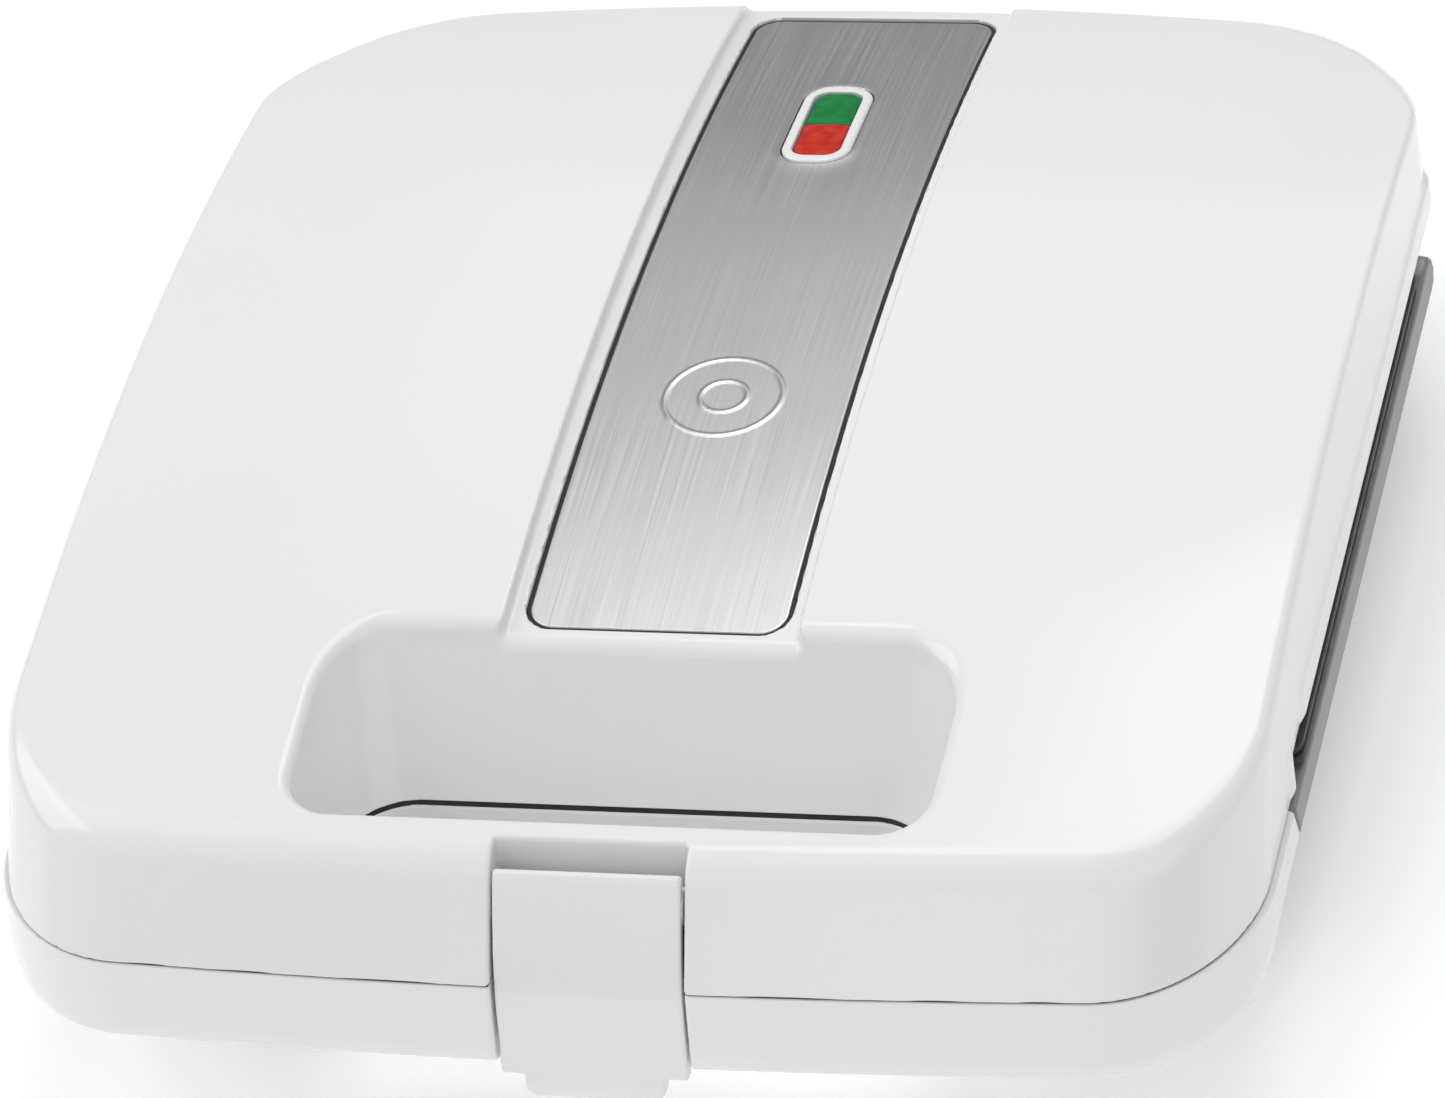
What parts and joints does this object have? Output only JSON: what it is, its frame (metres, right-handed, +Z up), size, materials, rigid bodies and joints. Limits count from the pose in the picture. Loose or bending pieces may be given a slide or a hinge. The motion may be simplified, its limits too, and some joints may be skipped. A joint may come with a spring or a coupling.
{
  "type": "donut maker",
  "caption": "Hinged two-plate donut maker with an arched white lid, a brushed steel inlay with two indicator lenses, a carry grip and a rocker latch.",
  "frame": {"origin": "on the table under the centre of the closed appliance", "axes": "+X to the user's right, +Y from the grip to the hinge, +Z up"},
  "size_m": [0.23, 0.2796, 0.0715],
  "materials": {
    "shell_white": "glossy injection-moulded white",
    "shell_grey": "satin grey, fine moulded grain",
    "inlay_steel": "brushed lengthwise",
    "lens_green": "clear tinted green",
    "lens_red": "clear tinted red",
    "nonstick": "cast aluminium with a dark non-stick coating",
    "element_steel": "heat-darkened tube",
    "tin_plate": "aluminised sheet",
    "fastener_steel": "zinc plated",
    "rubber_black": "matt",
    "ceramic_cream": "glazed steatite",
    "inlet_black": "satin black",
    "lamp_glass": "small neon lamp"
  },
  "bodies": {
    "base": {"base_shell": "shell_grey", "bottom_cover": "shell_grey", "lower_grip_cover": "shell_white", "lower_grip_insert": "shell_grey", "lower_grip_screw_left": "fastener_steel", "lower_grip_screw_right": "fastener_steel", "foot_front_left": "rubber_black", "foot_front_right": "rubber_black", "foot_rear_left": "rubber_black", "foot_rear_right": "rubber_black", "bottom_screw_front_left": "fastener_steel", "bottom_screw_rear_left": "fastener_steel", "bottom_screw_front_right": "fastener_steel", "bottom_screw_rear_right": "fastener_steel", "lower_baking_plate": "nonstick", "lower_heating_element": "element_steel", "lower_heat_shield": "tin_plate", "thermostat": "ceramic_cream", "thermal_fuse": "tin_plate", "terminal_block": "ceramic_cream", "cord_inlet_bush": "inlet_black", "hinge_pin_left": "fastener_steel", "hinge_pin_right": "fastener_steel"},
    "lid": {"lid_shell": "shell_white", "lid_grip_insert": "shell_grey", "lid_rear_panel": "shell_white", "lid_grip_screw_left": "fastener_steel", "lid_grip_screw_right": "fastener_steel", "steel_inlay": "inlay_steel", "indicator_bezel": "shell_white", "green_lens": "lens_green", "red_lens": "lens_red", "lamp_holder": "ceramic_cream", "neon_lamp_green": "lamp_glass", "neon_lamp_red": "lamp_glass", "upper_baking_plate": "nonstick", "upper_heating_element": "element_steel", "upper_heat_shield": "tin_plate", "plate_screw_front_left": "fastener_steel", "plate_screw_rear_left": "fastener_steel", "plate_screw_front_right": "fastener_steel", "plate_screw_rear_right": "fastener_steel", "latch_pin": "fastener_steel"},
    "latch": {"latch_clip": "shell_white"}
  },
  "joints": [
    {"name": "lid_hinge", "type": "hinge", "parent": "base", "child": "lid", "pos_m": [0, 0.1348, 0.0415], "axis": [-1, 0, 0], "range_deg": [0, 100]},
    {"name": "latch_pivot", "type": "hinge", "parent": "lid", "child": "latch", "pos_m": [0, -0.1234, 0.0482], "axis": [-1, 0, 0], "range_deg": [0, 25]}
  ]
}
